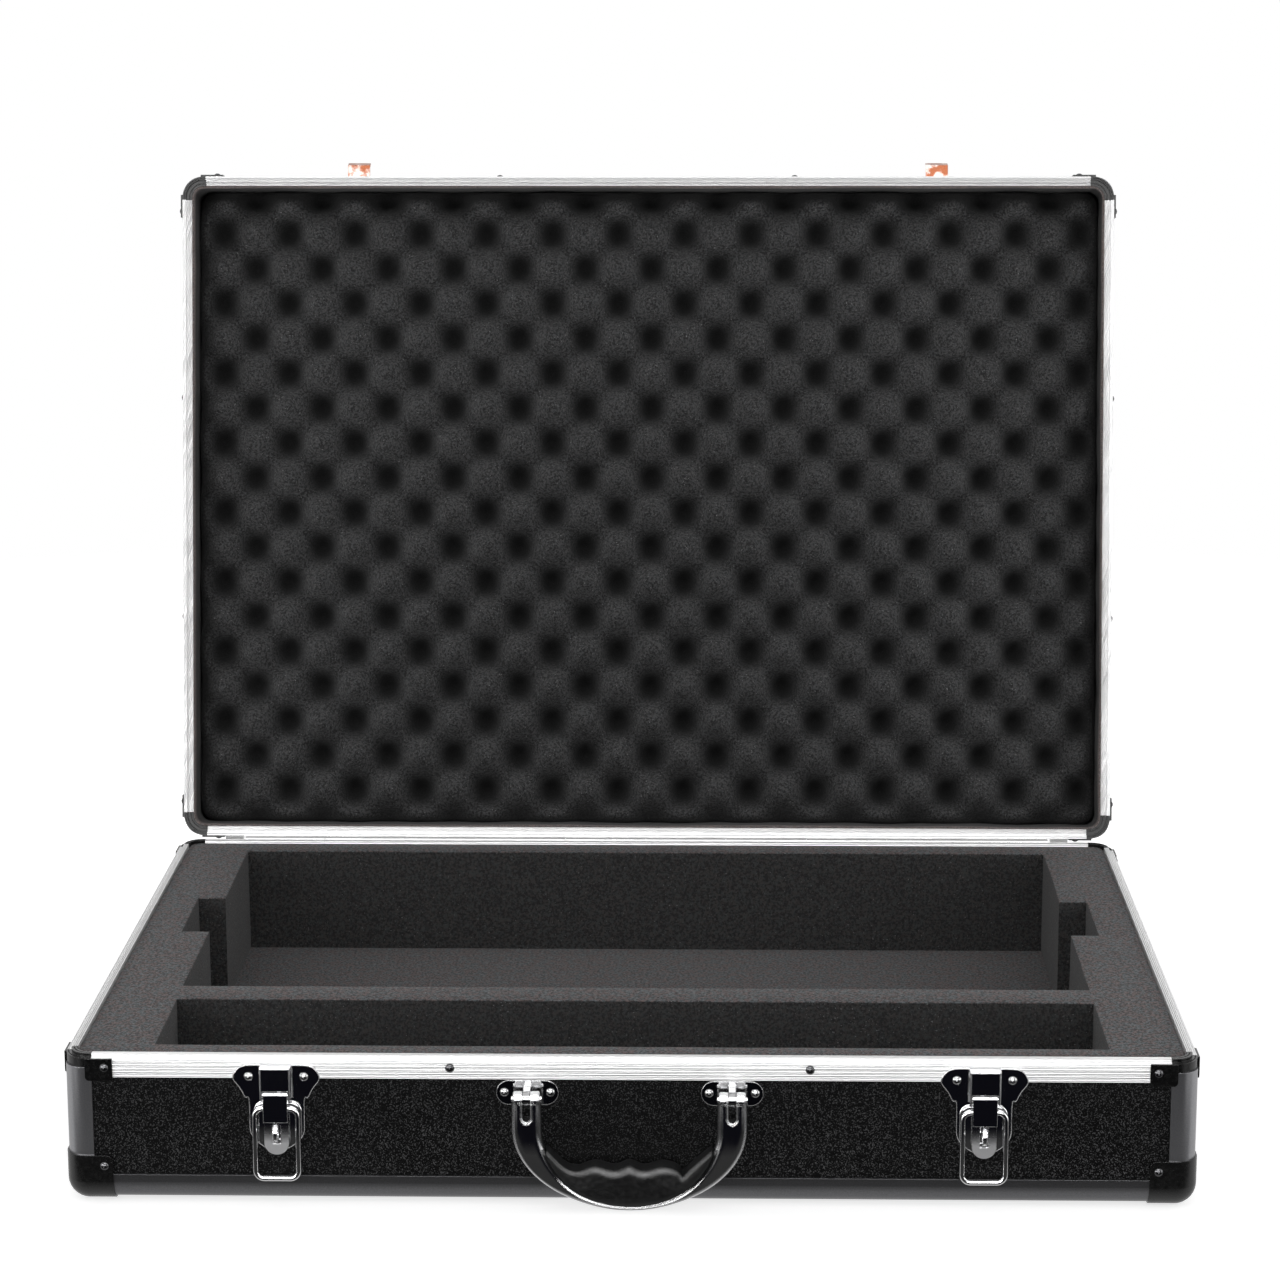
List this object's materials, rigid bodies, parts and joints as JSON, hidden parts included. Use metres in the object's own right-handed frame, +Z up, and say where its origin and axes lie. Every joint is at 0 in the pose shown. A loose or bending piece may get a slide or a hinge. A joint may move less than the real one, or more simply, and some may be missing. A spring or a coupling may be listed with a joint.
{
  "type": "guitar pedal case",
  "caption": "Hard case for a floor effects unit: foam-cut base, hinged lid with egg-crate foam, draw latches and a folding handle, shown open.",
  "frame": {"origin": "bottom centre of the open case's bounding box, on the plane it stands on", "axes": "+X to the right along the long side, +Y to the hinge side, +Z up"},
  "size_m": [0.6654, 0.6314, 0.5611],
  "materials": {
    "laminate": "satin",
    "dark_extrusion": "satin",
    "silver_rim": "satin",
    "black_moulding": "satin",
    "black_rivet": "gloss",
    "base_foam": "matte",
    "lid_foam": "matte",
    "liner": "matte",
    "chrome": "polished",
    "grip": "satin",
    "hinge": "satin"
  },
  "bodies": {
    "base": {"base_floor_panel": "laminate", "base_front_panel": "laminate", "base_front_rim": "silver_rim", "base_front_edge": "dark_extrusion", "base_rear_panel": "laminate", "base_rear_rim": "silver_rim", "base_rear_edge": "dark_extrusion", "base_left_panel": "laminate", "base_left_rim": "silver_rim", "base_left_edge": "dark_extrusion", "base_right_panel": "laminate", "base_right_rim": "silver_rim", "base_right_edge": "dark_extrusion", "base_posts": "dark_extrusion", "base_rim_corners": "black_moulding", "base_ball_corners": "black_moulding", "base_rivets": "black_rivet", "foam_floor_pad": "base_foam", "foam_insert": "base_foam", "latch_plate_left": "chrome", "latch_plate_right": "chrome", "latch_pins": "chrome", "latch_staples": "chrome", "latch_rivets": "chrome", "handle_brackets": "chrome", "handle_bracket_rivets": "chrome", "hinge_base_leaf": "hinge", "hinge_pin": "hinge", "hinge_stops": "hinge", "hinge_base_rivets": "hinge"},
    "lid": {"lid_top_panel": "laminate", "lid_front_panel": "laminate", "lid_front_rim": "silver_rim", "lid_front_edge": "dark_extrusion", "lid_rear_panel": "laminate", "lid_rear_rim": "silver_rim", "lid_rear_edge": "dark_extrusion", "lid_left_panel": "laminate", "lid_left_rim": "silver_rim", "lid_left_edge": "dark_extrusion", "lid_right_panel": "laminate", "lid_right_rim": "silver_rim", "lid_right_edge": "dark_extrusion", "lid_posts": "dark_extrusion", "lid_rim_corners": "black_moulding", "lid_ball_corners": "black_moulding", "lid_rivets": "black_rivet", "lid_liner": "liner", "lid_foam": "lid_foam", "hinge_lid_leaf": "hinge", "hinge_lid_rivets": "hinge", "latch_catches": "chrome", "latch_catch_rivets": "chrome"},
    "lever_left": {"latch_lever_left": "chrome"},
    "lever_right": {"latch_lever_right": "chrome"},
    "bail_left": {"latch_bail_left": "chrome"},
    "bail_right": {"latch_bail_right": "chrome"},
    "handle": {"handle_frame": "chrome", "handle_grip": "grip", "handle_pins": "chrome"}
  },
  "joints": [
    {"name": "lid_hinge", "type": "hinge", "parent": "base", "child": "lid", "pos_m": [0, 0.17594, 0.089], "axis": [1, 0, 0], "range_deg": [0, 100.3]},
    {"name": "lever_left_hinge", "type": "hinge", "parent": "base", "child": "lever_left", "pos_m": [-0.2055, -0.30296, 0.0695], "axis": [1, 0, 0], "range_deg": [-95, 0]},
    {"name": "bail_left_pivot", "type": "hinge", "parent": "lever_left", "child": "bail_left", "pos_m": [-0.2055, -0.30186, 0.061], "axis": [-1, 0, 0], "range_deg": [0, 180]},
    {"name": "lever_right_hinge", "type": "hinge", "parent": "base", "child": "lever_right", "pos_m": [0.2055, -0.30296, 0.0695], "axis": [1, 0, 0], "range_deg": [-95, 0]},
    {"name": "bail_right_pivot", "type": "hinge", "parent": "lever_right", "child": "bail_right", "pos_m": [0.2055, -0.30186, 0.061], "axis": [-1, 0, 0], "range_deg": [0, 180]},
    {"name": "handle_hinge", "type": "hinge", "parent": "base", "child": "handle", "pos_m": [0, -0.30676, 0.0696], "axis": [-1, 0, 0], "range_deg": [0, 95]}
  ]
}
